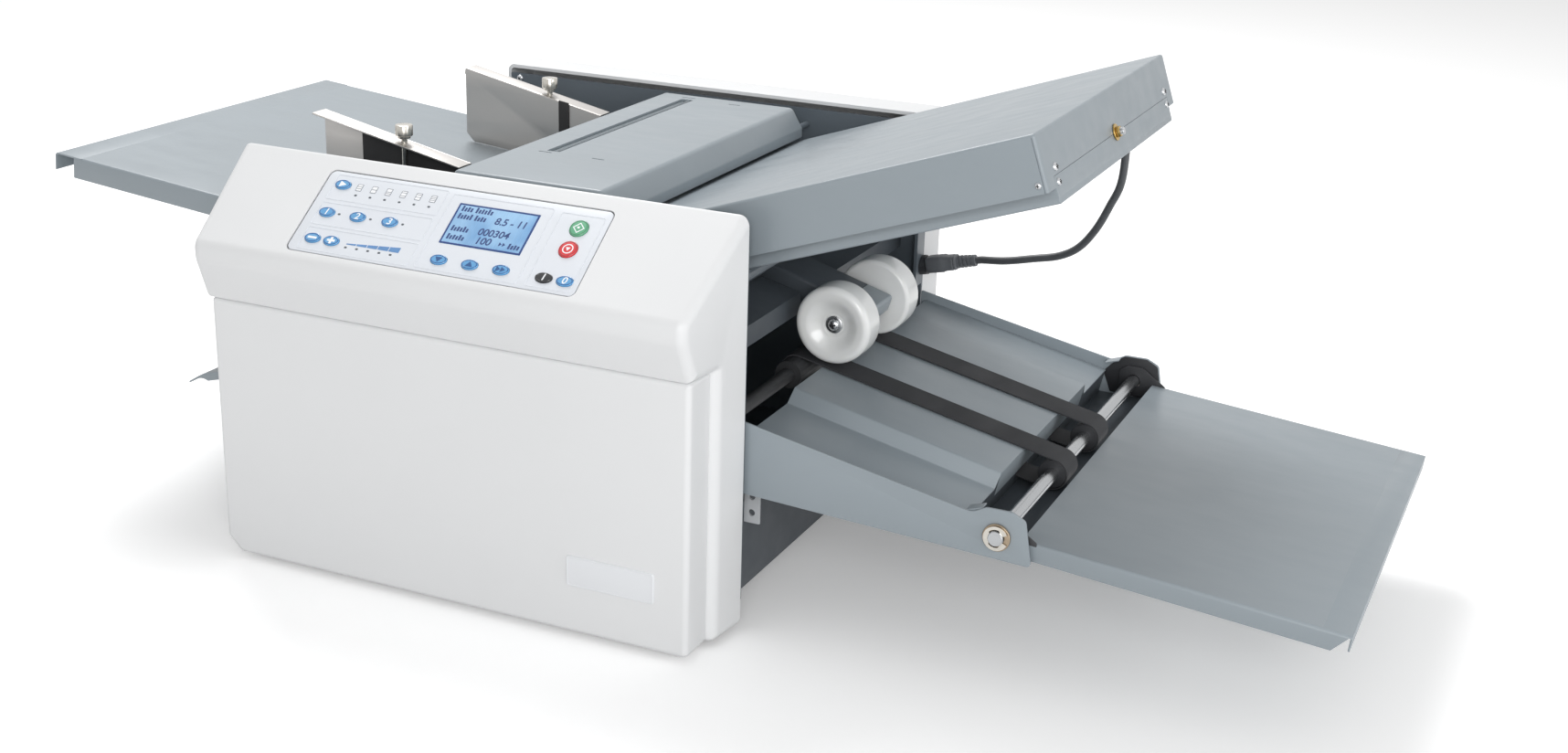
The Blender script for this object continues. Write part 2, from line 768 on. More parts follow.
# Feed tray: one folded sheet, rolled down at its far end, with a flange along each side
tray_sheet = [
    (-tray_left, tray_height), (tray_right, tray_top(tray_right)),
    (tray_right, tray_top(tray_right) - tray_thickness),
    (tray_thickness - tray_left, tray_height - tray_thickness),
    (tray_thickness - tray_left, tray_height - tray_lip), (-tray_left, tray_height - tray_lip)]
tray_y = (path_y - tray_half_width, path_y + tray_half_width)
feed_tray = prism("feed_tray", tray_sheet, tray_y, "XZ", "grey_paint")
flange_x0 = tray_flange_setback - tray_left
flange_outline = [
    (flange_x0, tray_top(flange_x0) - tray_thickness / 2),
    (tray_right, tray_top(tray_right) - tray_thickness / 2),
    (tray_right, tray_top(tray_right) - tray_flange),
    (flange_x0 + tray_thickness, tray_top(flange_x0) - tray_flange)]
for side, tag in ((-1, "front"), (1, "rear")):
    edge = path_y + side * tray_half_width
    join(feed_tray, prism(f"tray_flange_{tag}", flange_outline, (edge, edge - side * tray_thickness), "XZ",
                          None))
    near = guide_half_spacing - guide_travel_in + guide_knob_offset - guide_stem_radius - running_gap
    far = guide_half_spacing + guide_travel_out + guide_knob_offset + guide_stem_radius + running_gap
    slot_y = sorted((path_y + side * near, path_y + side * far))
    slot_reach = guide_stem_radius + running_gap
    cut(feed_tray, box(f"tray_slot_{tag}", (guide_knob_x - slot_reach, slot_y[0],
                                            tray_top(guide_knob_x) - tray_lip),
                       (guide_knob_x + slot_reach, slot_y[1], guide_end_height), None))

# Side guides: stainless angles that slide across the tray, each locked by a thumb knob
guide_slope = (guide_tip_height - guide_end_height) / (guide_right - guide_left)


def guide_line(x):
    return guide_tip_height - (x - guide_left) * guide_slope


guide_web = [
    (guide_left, guide_tip_height), (guide_right, guide_end_height),
    (guide_right, tray_top(guide_right) + guide_foot_clearance),
    (guide_left + guide_nose_run, tray_top(guide_left + guide_nose_run) + guide_foot_clearance),
    (guide_left, guide_tip_height - guide_nose)]
flange_x = (guide_left + fit_gap, guide_right - fit_gap)
guide_top_flange = [
    (flange_x[0], guide_line(flange_x[0]) - fit_gap), (flange_x[1], guide_line(flange_x[1]) - fit_gap),
    (flange_x[1], guide_line(flange_x[1]) - guide_thickness),
    (flange_x[0], guide_line(flange_x[0]) - guide_thickness)]
foot_low = guide_foot_clearance + fit_gap / 3
foot_x0 = guide_knob_x - guide_foot
foot_x1 = guide_knob_x + guide_foot
guide_foot_outline = [
    (foot_x0, tray_top(foot_x0) + foot_low), (foot_x1, tray_top(foot_x1) + foot_low),
    (foot_x1, tray_top(foot_x1) + foot_low + guide_thickness),
    (foot_x0, tray_top(foot_x0) + foot_low + guide_thickness)]
for side, tag in ((-1, "front"), (1, "rear")):
    face = path_y + side * guide_half_spacing
    web_y = (face, face + side * guide_thickness)
    knob_y = face + side * guide_knob_offset
    guide = prism(f"guide_{tag}", guide_web, web_y, "XZ", "stainless")
    join(guide, prism(f"guide_flange_{tag}", guide_top_flange,
                      (face + side * fit_gap, face + side * guide_flange),
                      "XZ", None))
    join(guide, prism(f"guide_foot_{tag}", guide_foot_outline,
                      (face + side * fit_gap, face + side * guide_foot),
                      "XZ", None))
    cut(guide, cylinders(f"guide_hole_{tag}", guide_stem_radius + fit_gap,
                         (tray_top(guide_knob_x) - cut_overrun, guide_tip_height), [(guide_knob_x, knob_y)],
                         "Z", None))
    pivot(guide, (guide_knob_x, knob_y, tray_top(guide_knob_x)))
    knob_top = guide_line(guide_knob_x) + knob_lift + knob_height
    disc_top = tray_top(guide_knob_x + clamp_disc_radius) - tray_thickness - running_gap
    disc_low = disc_top - clamp_disc_height
    waist = knob_radius * knob_waist_share
    stem = [
        (0, knob_top), (knob_radius, knob_top), (knob_radius, knob_top - knob_height * knob_head_share),
        (waist, knob_top - knob_height * knob_head_share), (waist, knob_top - knob_height),
        (guide_stem_radius, knob_top - knob_height),
        (guide_stem_radius, disc_top), (clamp_disc_radius, disc_top), (clamp_disc_radius, disc_low),
        (0, disc_low)]
    turned(f"guide_knob_{tag}", stem, "nickel", Matrix.Translation((guide_knob_x, knob_y, 0)), sides=16)

# Feed roller with a rubber tyre over the separator pad
shaft_low = front_frame_y0 - path_y
shaft_high = rear_frame_y1 - path_y
feed_profile = [
    (0, shaft_high), (feed_shaft_radius, shaft_high), (feed_shaft_radius, feed_tyre_half),
    (feed_radius - running_gap, feed_tyre_half), (feed_radius - running_gap, -feed_tyre_half),
    (feed_shaft_radius, -feed_tyre_half), (feed_shaft_radius, shaft_low), (0, shaft_low)]
turned("feed_roller", feed_profile, "rubber_black", shaft_frame(feed_x, feed_z))
pad_frame = Matrix.Translation((feed_x, path_y, tray_top(feed_x))) @ Matrix.Rotation(tray_tilt, 4, "Y")
box("separator_pad", (-separator_length / 2, -separator_width / 2, fit_gap),
    (separator_length / 2, separator_width / 2, separator_thickness), "plastic_grey", pad_frame)

# Four fold rollers, geared together at their rear ends
roller_body = roller_radius - running_gap / 2
gear_start = rear_cover_y0 - path_y + running_gap
gear_end = gear_start + gear_width
for count, (x, z) in enumerate(roller_places, start=1):
    profile = [
        (0, gear_end), (roller_body, gear_end), (roller_body, gear_start),
        (roller_shaft_radius, gear_start),
        (roller_shaft_radius, roller_half_width), (roller_body, roller_half_width),
        (roller_body, -roller_half_width), (roller_shaft_radius, -roller_half_width),
        (roller_shaft_radius, shaft_low), (0, shaft_low)]
    turned(f"fold_roller_{count}", profile, "rubber_black", shaft_frame(x, z))

# Motor against the rear frame, standing on the base plate
motor_y1 = rear_frame_y0 - fit_gap
motor = cylinders("drive_motor", motor_radius, (motor_y1 - motor_length, motor_y1), [(motor_x, motor_z)],
                  "Y",
                  "zinc", sides=20)
motor_foot_top = motor_z - motor_radius / 2
motor_foot_y = (motor_y1 - motor_length + motor_radius, motor_y1 - motor_radius)
join(motor, box("motor_foot", (motor_x - motor_foot_width / 2, motor_foot_y[0], frame_bottom),
                (motor_x + motor_foot_width / 2, motor_foot_y[1], motor_foot_top), None))


def belt_loop(first, second, radius_1, radius_2, steps):
    """The outline of a belt round two pulleys, as points on the two arcs."""
    run = Vector(second) - Vector(first)
    lean = math.acos((radius_1 - radius_2) / run.length)
    heading = math.atan2(run.y, run.x)
    points = []
    for centre, radius, begin, sweep in (
            (first, radius_1, heading + lean, math.tau - 2 * lean),
            (second, radius_2, heading - lean, 2 * lean)):
        for step in range(steps + 1):
            angle = begin + sweep * step / steps
            points.append((centre[0] + radius * math.cos(angle), centre[1] + radius * math.sin(angle)))
    return points


def belt(name, first, second, radii, thickness, y_pair, look, steps):
    band = prism(name, belt_loop(first, second, radii[0] + thickness, radii[1] + thickness, steps), y_pair,
                 "XZ", look)
    room = (y_pair[0] - cut_overrun, y_pair[1] + cut_overrun)
    cut(band, prism(name + "_inside", belt_loop(first, second, radii[0], radii[1], steps), room, "XZ",
                    None))
    return band


# Feeder cover: a folded lid over the feed roller, hinged on a rod at its right edge
lid_outline = [
    (feeder_left, feeder_bottom_left), (feeder_left, feeder_top),
    (feeder_right - feeder_bevel_x, feeder_top),
    (feeder_right, feeder_top - feeder_bevel_z), (feeder_right, feeder_bottom_right)]
lid_inner = [
    (feeder_left + feeder_wall, feeder_bottom_left - cut_overrun),
    (feeder_left + feeder_wall, feeder_top - feeder_wall),
    (feeder_right - feeder_bevel_x - feeder_wall / 2, feeder_top - feeder_wall),
    (feeder_right - feeder_wall, feeder_top - feeder_bevel_z - feeder_wall / 2),
    (feeder_right - feeder_wall, feeder_bottom_right - cut_overrun)]
lid_y = (path_y - feeder_half_width, path_y + feeder_half_width)
feeder_cover = prism("feeder_cover", lid_outline, lid_y, "XZ", "grey_paint")
soften(feeder_cover, feeder_wall / 2, segments=1)
cut(feeder_cover, prism("feeder_cover_hollow", lid_inner, (lid_y[0] + feeder_wall, lid_y[1] - feeder_wall),
                        "XZ", None))
slot_mid = path_y + feeder_slot_centre
cut(feeder_cover, box("feeder_slot", (feeder_slot_x - feeder_slot_width / 2,
                                      slot_mid - feeder_slot_half_length,
                                      feeder_top - feeder_wall - cut_overrun),
                      (feeder_slot_x + feeder_slot_width / 2, slot_mid + feeder_slot_half_length,
                       feeder_top + cut_overrun), None))
cut(feeder_cover, cylinders("feeder_hinge_bore", feeder_hinge_radius + fit_gap,
                            (lid_y[0] - cut_overrun, lid_y[1] + cut_overrun),
                            [(feeder_hinge_x, feeder_hinge_z)],
                            "Y", None))
pivot(feeder_cover, (feeder_hinge_x, path_y, feeder_hinge_z))

# Upper fold plate: a deep top shell over a shallow bottom shell, the sheet runs between them
top_low = (plate_start, -upper_plate_half_width, 0)
top_high = (upper_plate_end, upper_plate_half_width, upper_plate_height)
top_shell = box("fold_plate_top", top_low, top_high, "grey_paint", upper_frame)
inset = Vector((upper_plate_wall, upper_plate_wall, upper_plate_wall))
cut(top_shell, box("fold_plate_top_hollow", (plate_start + upper_plate_wall,
                                             upper_plate_wall - upper_plate_half_width,
                                             -cut_overrun),
                   Vector(top_high) - inset, None, upper_frame))
mouth_half = upper_plate_half_width - 4 * upper_plate_wall
cut(top_shell, box("sheet_mouth", (plate_start - cut_overrun, -mouth_half, -cut_overrun),
                   (plate_start + upper_plate_wall + cut_overrun, mouth_half, sheet_mouth_height), None,
                   upper_frame))
screw_start = plate_start + upper_plate_wall / 2
cut(top_shell, cylinders("stop_screw_holes", stop_screw_radius + fit_gap,
                         (plate_start - cut_overrun, upper_plate_end + cut_overrun),
                         [(0, stop_screw_height)], "X", None,
                         frame=upper_frame))
shell_half = upper_plate_half_width - lower_shell_inset
bottom_shell = box("fold_plate_bottom", (plate_start, -shell_half, -lower_shell_height),
                   (upper_plate_end, shell_half, -fit_gap), "grey_paint", upper_frame)
cut(bottom_shell, box(
    "fold_plate_bottom_hollow",
    (plate_start + lower_shell_wall, lower_shell_wall - shell_half, -lower_shell_height - cut_overrun),
    (upper_plate_end - lower_shell_wall, shell_half - lower_shell_wall, -fit_gap - lower_shell_wall),
    None, upper_frame))

# Its end turns up as a flap that stands in a notch of the top shell's end
join(bottom_shell, box("fold_plate_flap", (upper_plate_end - lower_shell_wall, -shell_half,
                                           -fit_gap - lower_shell_wall / 2),
                       (upper_plate_end, shell_half, lower_shell_flap), None, upper_frame))
cut(top_shell, box("fold_plate_notch", (upper_plate_end - upper_plate_wall - cut_overrun,
                                        -shell_half - fit_gap, -cut_overrun),
                   (upper_plate_end + cut_overrun, shell_half + fit_gap, lower_shell_flap + fit_gap), None,
                   upper_frame))
cut(bottom_shell, cylinders("flap_screw_hole", stop_screw_radius + fit_gap,
                            (upper_plate_end - 2 * upper_plate_wall, upper_plate_end + cut_overrun),
                            [(0, stop_screw_height)], "X", None, frame=upper_frame))

# Fold stop: a bar across the plate on a long screw whose end shows as a stud
stud_base = upper_plate_end + fit_gap
stud_tip = stud_base + stud_washer_thickness
along_x = axis_turns["X"]
turned("stop_screw", [
    (0, stud_tip + stud_head_length), (stud_head_radius, stud_tip + stud_head_length),
    (stud_head_radius, stud_tip),
    (stud_washer_radius, stud_tip), (stud_washer_radius, stud_base), (stop_screw_radius, stud_base),
    (stop_screw_radius, screw_start), (0, screw_start)], "zinc",
    upper_frame @ Matrix.Translation((0, 0, stop_screw_height)) @ along_x, sides=12)
stop_frame = upper_frame @ Matrix.Translation((stop_bar_at, 0, stop_screw_height))
fold_stop = box("fold_stop", (-stop_bar_length / 2, -stop_bar_half_width, stop_bar_low - stop_screw_height),
                (stop_bar_length / 2, stop_bar_half_width, stop_bar_high - stop_screw_height), "zinc",
                stop_frame)
cut(fold_stop, cylinders("fold_stop_bore", stop_screw_radius + fit_gap, (-stop_bar_length, stop_bar_length),
                         [(0, 0)],
                         "X", None, frame=stop_frame))

# Places of the rods that carry the upper fold plate between the side frames
rod_drop = -lower_shell_height - support_rod_radius - fit_gap
rod_places = [offset_line((nip_x, nip_z), upper_tilt, along, rod_drop) for along in (support_rod_near,
                                                                                     support_rod_far)]
rod_ends = (front_frame_y1 + fit_gap, rear_frame_y0 - fit_gap)

# Lower fold plate: a thin double plate that slopes down under the feed tray and ends in a lip
lower_frame = sloped(nip_2, lower_tilt)
half_plate = lower_plate_thickness / 2
lower_section = [
    (-lower_plate_start, half_plate), (-lower_plate_end, half_plate),
    (-lower_plate_end - lower_lip_length / 2, half_plate - lower_lip_drop / 3),
    (-lower_plate_end - lower_lip_length, half_plate - lower_lip_drop * 2),
    (-lower_plate_end - lower_lip_length, half_plate - lower_lip_drop * 2 - lower_plate_wall),
    (-lower_plate_end - lower_lip_length / 2, half_plate - lower_lip_drop / 3 - lower_plate_wall * 2),
    (-lower_plate_end, -half_plate), (-lower_plate_start, -half_plate)]
lower_y = (-lower_plate_half_width, lower_plate_half_width)
lower_plate = prism("lower_fold_plate", lower_section, lower_y, "XZ", "grey_paint", lower_frame)
half_channel = lower_plate_channel / 2
cut(lower_plate, box("lower_plate_channel", (-lower_plate_end + lower_plate_wall,
                                             lower_plate_wall - lower_plate_half_width, -half_channel),
                     (cut_overrun - lower_plate_start, lower_plate_half_width - lower_plate_wall,
                      half_channel),
                     None, lower_frame))
hanger_at = [-lower_plate_start - support_rod_radius * 3, -lower_plate_end / 2]
hanger_drop = -half_plate - support_rod_radius - fit_gap
hanger_places = [offset_line(nip_2, lower_tilt, along, hanger_drop) for along in hanger_at]

# Exit guide: a dark plate over the delivery mouth, notched for the stacker arm
guide_slope_exit = math.tan(exit_guide_tilt)
guide_run = exit_guide_right - exit_guide_left
exit_left_z = exit_guide_z + guide_run * guide_slope_exit
exit_section = [
    (exit_guide_left, exit_left_z), (exit_guide_right, exit_guide_z),
    (exit_guide_right, exit_guide_z - exit_guide_flange),
    (exit_guide_right - exit_guide_thickness, exit_guide_z - exit_guide_flange),
    (exit_guide_right - exit_guide_thickness, exit_guide_z - exit_guide_thickness),
    (exit_guide_left, exit_left_z - exit_guide_thickness)]
exit_guide = prism("exit_guide", exit_section, rod_ends, "XZ", "dark_paint")
cut(exit_guide, box("exit_notch", (exit_guide_right - exit_notch_length, path_y - exit_notch_half_width,
                                   exit_guide_z - 2 * exit_guide_flange),
                    (exit_guide_right + cut_overrun, path_y + exit_notch_half_width,
                     exit_left_z + cut_overrun), None))

# Stacker arm: a channel on a cross rod that carries the wheels' axle at its free end
arm_frame = sloped((arm_pivot_x, arm_pivot_z), -arm_tilt)
arm_low = (-arm_start, -arm_half_width, -arm_height / 2)
arm_high = (arm_end, arm_half_width, arm_height / 2)
stacker_arm = box("stacker_arm", arm_low, arm_high, "grey_paint", arm_frame)
cut(stacker_arm, box("arm_hollow", (-arm_start - cut_overrun, arm_wall - arm_half_width,
                                    -arm_height / 2 - cut_overrun),
                     (arm_end - arm_wall, arm_half_width - arm_wall, arm_height / 2 - arm_wall), None,
                     arm_frame))
cut(stacker_arm, cylinders("arm_pivot_bore", arm_pivot_radius + fit_gap,
                           (-arm_half_width - cut_overrun, arm_half_width + cut_overrun), [(0, 0)], "Y",
                           None,
                           frame=arm_frame))
wheel_inner = belt_offset - wheel_width / 2
wheel_outer = wheel_inner + wheel_width
head_y = wheel_outer - wheel_dish + running_gap
spacer_y = wheel_inner - running_gap
axle_end = head_y + axle_head_height
join(stacker_arm, turned("stacker_axle", [
    (0, axle_end), (axle_head_radius, axle_end), (axle_head_radius, head_y), (wheel_axle_radius, head_y),
    (wheel_axle_radius, spacer_y), (wheel_spacer_radius, spacer_y), (wheel_spacer_radius, -spacer_y),
    (wheel_axle_radius, -spacer_y), (wheel_axle_radius, -head_y), (axle_head_radius, -head_y),
    (axle_head_radius, -axle_end), (0, -axle_end)],
    None, shaft_frame(wheel_x, wheel_z), sides=12))
wheel_section = [
    (wheel_hub_radius, wheel_outer - wheel_dish), (wheel_radius - wheel_rim, wheel_outer - wheel_dish),
    (wheel_radius - wheel_rim, wheel_outer), (wheel_radius - wheel_rim / 3, wheel_outer),
    (wheel_radius, wheel_outer - wheel_rim / 3), (wheel_radius, wheel_inner + wheel_rim / 3),
    (wheel_radius - wheel_rim / 3, wheel_inner), (wheel_bore_radius, wheel_inner),
    (wheel_bore_radius, wheel_outer - wheel_dish)]
rear_wheel = turned("stacker_wheel_rear", wheel_section, "nylon", shaft_frame(wheel_x, wheel_z), sides=32,
                    closed=True)
mirrored = [(radius, -height) for radius, height in reversed(wheel_section)]
turned("stacker_wheel_front", mirrored, "nylon", shaft_frame(wheel_x, wheel_z), sides=32, closed=True)

# Cross rods, riveted to the front frame: they carry the lid, the fold plates and the arm
cross_rods = [((x, tie_low_z), tie_radius) for x in (tie_left_x, tie_right_x)]
cross_rods += [((tie_left_x, tie_high_z), tie_radius),
               ((feeder_hinge_x, feeder_hinge_z), feeder_hinge_radius),
               ((arm_pivot_x, arm_pivot_z), arm_pivot_radius)]
cross_rods += [(place, support_rod_radius) for place in rod_places + hanger_places]
front_frame = bpy.data.objects["side_frame_front"]
for count, (place, radius) in enumerate(cross_rods):
    reach = (front_frame_y0 + frame_thickness / 2, rear_frame_y0 - fit_gap)
    join(front_frame, cylinders(f"cross_rod_{count}", radius, reach, [place], "Y", None))

# Conveyor sides: two folded plates that carry the bed and the end shaft
side_points = [
    (conveyor_left, conveyor_low_left), (conveyor_right, conveyor_low_right),
    (conveyor_end_x, conveyor_end_z),
    (conveyor_end_x - bushing_flange_radius, conveyor_end_z + bushing_flange_radius / 2),
    (conveyor_shoulder_x + bushing_flange_radius, conveyor_end_z + bushing_flange_radius / 2),
    (conveyor_shoulder_x, conveyor_shoulder_z), (conveyor_left, conveyor_top_z)]
for side, tag in ((-1, "front"), (1, "rear")):
    outer_face = path_y + side * conveyor_half_width
    y_pair = (outer_face, outer_face - side * conveyor_side_thickness)
    plate = prism(f"conveyor_side_{tag}", side_points, y_pair, "XZ", "grey_paint")
    room = (min(y_pair) - cut_overrun, max(y_pair) + cut_overrun)
    cut(plate, cylinders(f"conveyor_hole_{tag}", bushing_barrel_radius + fit_gap, room,
                         [(end_shaft_x, end_shaft_z)],
                         "Y", None, sides=16))
conveyor_inner = conveyor_half_width - conveyor_side_thickness

# Conveyor bed: a sheet folded up along its middle, where the belts slide on it
belt_line = belt_outer_radius / math.cos(conveyor_tilt)


def belt_top(x):
    return end_shaft_z + belt_line + (end_shaft_x - x) * math.tan(conveyor_tilt)


raise_by = belt_top(conveyor_left) - conveyor_top_z - belt_thickness / math.cos(conveyor_tilt) - running_gap
bed_frame = sloped((conveyor_left, conveyor_top_z), -conveyor_tilt)
bed_length = (bed_right - conveyor_left) / math.cos(conveyor_tilt)
rise = raise_by * math.cos(conveyor_tilt)
bed_half = conveyor_inner - fit_gap
bed_curve = [
    (-bed_half, -bed_drop), (-bed_raised_half_width - bed_ramp, -bed_drop), (-bed_raised_half_width, rise),
    (bed_raised_half_width, rise), (bed_raised_half_width + bed_ramp, -bed_drop), (bed_half, -bed_drop)]
bed_under = [(y, z - bed_thickness) for y, z in reversed(bed_curve)]
conveyor_bed = prism("conveyor_bed", bed_curve + bed_under, (bed_inset, bed_length), "YZ", "grey_paint",
                     bed_frame)
flange_box = box("conveyor_bed_flange", (bed_length - bed_thickness, -bed_raised_half_width,
                                         rise - bed_flange),
                 (bed_length, bed_raised_half_width, rise - bed_thickness / 2), None, bed_frame)
join(conveyor_bed, flange_box)
pan_top = end_shaft_z - belt_pulley_radius - belt_thickness - bed_pan_gap
hanger_drop = (bed_top(bed_right) - pan_top) / math.cos(conveyor_tilt) + bed_thickness / 2
pan_left = bed_right - hanger_drop * math.sin(conveyor_tilt) - bed_thickness
pan_low = pan_top - bed_thickness
join(conveyor_bed, box("conveyor_pan", (pan_left, path_y - bed_half, pan_low),
                       (extension_left - running_gap, path_y + bed_half, pan_top), None))
join(conveyor_bed, box("conveyor_pan_wall", (pan_left, path_y - bed_half, pan_low),
                       (pan_left + bed_thickness, path_y + bed_half, pan_top + bed_pan_wall), None))
hanger_x = (bed_length - bed_thickness, bed_length)
hanger_top = rise - bed_thickness / 2
belt_inside = belt_offset - belt_width / 2 - bed_pan_belt_room
belt_outside = belt_offset + belt_width / 2 + bed_pan_belt_room
join(conveyor_bed, box("conveyor_pan_hanger", (hanger_x[0], -belt_inside, -hanger_drop),
                       (hanger_x[1], belt_inside, hanger_top), None, bed_frame))
for side in (-1, 1):
    hanger = [(side * belt_outside, -hanger_drop), (side * bed_half, -hanger_drop),
              (side * bed_half, -bed_drop - bed_thickness / 2),
              (side * (bed_raised_half_width + bed_ramp), -bed_drop - bed_thickness / 2),
              (side * bed_raised_half_width, hanger_top), (side * belt_outside, hanger_top)]
    join(conveyor_bed, prism(f"conveyor_pan_hanger_{side}", hanger, hanger_x, "YZ", None, bed_frame))

# Conveyor belts with the roller that drives them and the end shaft's pulleys
belt_places = (-belt_offset, belt_offset)
belt_steps = 10
inner_radius = (belt_pulley_radius + fit_gap) / math.cos(math.pi / 2 / belt_steps)
for tag, offset in zip(("front", "rear"), belt_places):
    y_pair = (path_y + offset - belt_width / 2, path_y + offset + belt_width / 2)
    belt(f"conveyor_belt_{tag}", (drive_roller_x, drive_roller_z), (end_shaft_x, end_shaft_z),
         (inner_radius, inner_radius), belt_thickness - fit_gap, y_pair, "belt_black", belt_steps)
drive_half = belt_offset + belt_width
turned("conveyor_drive_roller", [
    (0, shaft_high), (end_shaft_radius, shaft_high), (end_shaft_radius, drive_half),
    (belt_pulley_radius, drive_half),
    (belt_pulley_radius, -drive_half), (end_shaft_radius, -drive_half), (end_shaft_radius, shaft_low),
    (0, shaft_low)],
    "rubber_black", shaft_frame(drive_roller_x, drive_roller_z), sides=20)
proud = conveyor_half_width + bushing_flange_thickness + shaft_proud
end_profile = [(0, proud), (end_shaft_radius, proud)]
for offset in sorted(belt_places, reverse=True):
    end_profile += [(end_shaft_radius, offset + belt_width / 2),
                    (belt_pulley_radius, offset + belt_width / 2),
                    (belt_pulley_radius, offset - belt_width / 2),
                    (end_shaft_radius, offset - belt_width / 2)]
end_profile += [(end_shaft_radius, -proud), (0, -proud)]
turned("conveyor_end_shaft", end_profile, "stainless", shaft_frame(end_shaft_x, end_shaft_z), sides=20)
bore = end_shaft_radius + fit_gap
for side, tag in ((-1, "front"), (1, "rear")):
    face = conveyor_half_width + fit_gap
    back = conveyor_inner - bushing_inner_thickness
    section = [
        (bore, face + bushing_flange_thickness), (bushing_flange_radius, face + bushing_flange_thickness),
        (bushing_flange_radius, face), (bushing_barrel_radius, face), (bushing_barrel_radius, back),
        (bore, back)]
    if side < 0:
        section = [(radius, -height) for radius, height in reversed(section)]
    turned(f"shaft_bushing_{tag}", section, "brass", shaft_frame(end_shaft_x, end_shaft_z), sides=16,
           closed=True)

# Extension: a folded tray that hangs on the end shaft by two ears and lifts for storage
ext_slope = math.tan(extension_tilt)


def extension_top(x):
    return extension_end_z + (extension_right - x) * ext_slope


ext_half = conveyor_inner - bushing_inner_thickness - running_gap
ext_section = [
    (extension_left, extension_top(extension_left)), (extension_right, extension_end_z),
    (extension_right, extension_end_z - extension_lip),
    (extension_right - extension_thickness, extension_end_z - extension_lip),
    (extension_right - extension_thickness, extension_end_z - extension_thickness),
    (extension_left, extension_top(extension_left) - extension_thickness)]
extension = prism("conveyor_extension", ext_section, (path_y - ext_half, path_y + ext_half), "XZ",
                  "grey_paint")
ear_low = end_shaft_z - extension_ear_radius
flange_end = extension_right - extension_lip - extension_thickness
ear_outline = [
    (end_shaft_x - extension_ear_radius, ear_low + extension_ear_radius / 2),
    (end_shaft_x - extension_ear_radius, end_shaft_z + extension_ear_radius / 2),
    (end_shaft_x - extension_ear_radius / 2, end_shaft_z + extension_ear_radius),
    (end_shaft_x + extension_ear_radius / 2, end_shaft_z + extension_ear_radius),
    (extension_left + extension_ear_radius,
     extension_top(extension_left + extension_ear_radius) - extension_thickness / 2),
    (flange_end, extension_top(flange_end) - extension_thickness / 2),
    (flange_end - extension_flange, extension_top(flange_end) - extension_flange),
    (extension_left, extension_top(extension_left) - extension_flange),
    (end_shaft_x - extension_ear_radius / 2, ear_low)]
for side, tag in ((-1, "front"), (1, "rear")):
    outer_face = path_y + side * ext_half
    y_pair = (outer_face, outer_face - side * extension_ear_thickness)
    join(extension, prism(f"extension_ear_{tag}", ear_outline, y_pair, "XZ", None))
cut(extension, cylinders("extension_bore", end_shaft_radius + fit_gap, (path_y - ext_half - cut_overrun,
                                                                        path_y + ext_half + cut_overrun),
                         [(end_shaft_x, end_shaft_z)], "Y", None, sides=16))
pivot(extension, (end_shaft_x, path_y, end_shaft_z))

# Control panel: a thin plate on the recess ledge, pierced for the display and the buttons
plate_top = control_plate_thickness - control_recess + fit_gap
plate_low = plate_top - control_plate_thickness
control_plate = box("control_panel", (control_left, control_low, plate_low),
                    (control_right, control_high, plate_top),
                    "panel_white", slope_frame)
lcd_x = control_left + lcd_across_share * control_width
lcd_up = control_low + lcd_up_share * control_height
lcd_low = (lcd_x - lcd_width / 2, lcd_up - lcd_height / 2)
lcd_high = (lcd_x + lcd_width / 2, lcd_up + lcd_height / 2)
cut(control_plate, box("lcd_window", (lcd_low[0] - fit_gap, lcd_low[1] - fit_gap, plate_low - cut_overrun),
                       (lcd_high[0] + fit_gap, lcd_high[1] + fit_gap, plate_top + cut_overrun), None,
                       slope_frame))
box("lcd_display", (*lcd_low, plate_top + lcd_proud - lcd_thickness), (*lcd_high, plate_top + lcd_proud),
    "screen_blue", slope_frame)

# Buttons: shares of the panel's width and height, counted from its lower left corner
oval_place_shares = {
    "button_select": (0.068, 0.835), "button_preset_1": (0.069, 0.489), "button_preset_2": (0.181, 0.489),
    "button_preset_3": (0.297, 0.489), "button_minus": (0.073, 0.172), "button_plus": (0.141, 0.172),
    "button_down": (0.524, 0.161), "button_up": (0.631, 0.161), "button_next": (0.737, 0.161),
    "button_single": (0.881, 0.155), "button_clear": (0.951, 0.155)}
round_place_shares = {"button_start": (0.9105, 0.750), "button_stop": (0.9105, 0.502)}
button_looks = {"button_start": "button_green", "button_stop": "button_red",
                "button_single": "plastic_black"}


def stadium(width, height, steps):
    """The outline of a slot with round ends."""
    radius = height / 2
    reach = width / 2 - radius
    points = []
    for sign in (1, -1):
        for step in range(steps + 1):
            angle = math.pi * (step / steps - 0.5)
            points.append((sign * (reach + radius * math.cos(angle)), sign * radius * math.sin(angle)))
    return points


button_low = plate_low - button_depth
for name, (across_share, up_share) in {**oval_place_shares, **round_place_shares}.items():
    centre = (control_left + across_share * control_width, control_low + up_share * control_height)
    place = slope_frame @ Matrix.Translation((*centre, 0))
    look = button_looks.get(name, "button_blue")
    if name in round_place_shares:
        shape = stadium(2 * round_button_radius, 2 * round_button_radius - fit_gap, 6)
        hole = stadium(2 * (round_button_radius + button_gap),
                       2 * (round_button_radius + button_gap) - fit_gap, 6)
    else:
        shape = stadium(oval_button_width, oval_button_height, 5)
        hole = stadium(oval_button_width + 2 * button_gap, oval_button_height + 2 * button_gap, 5)
    cut(control_plate, prism(name + "_hole", hole, (plate_low - cut_overrun, plate_top + cut_overrun), "XY",
                             None, place))
    key = prism(name, shape, (button_low, plate_top + button_proud), "XY", look, place)
    soften(key, button_proud / 2, segments=1, degrees=60)

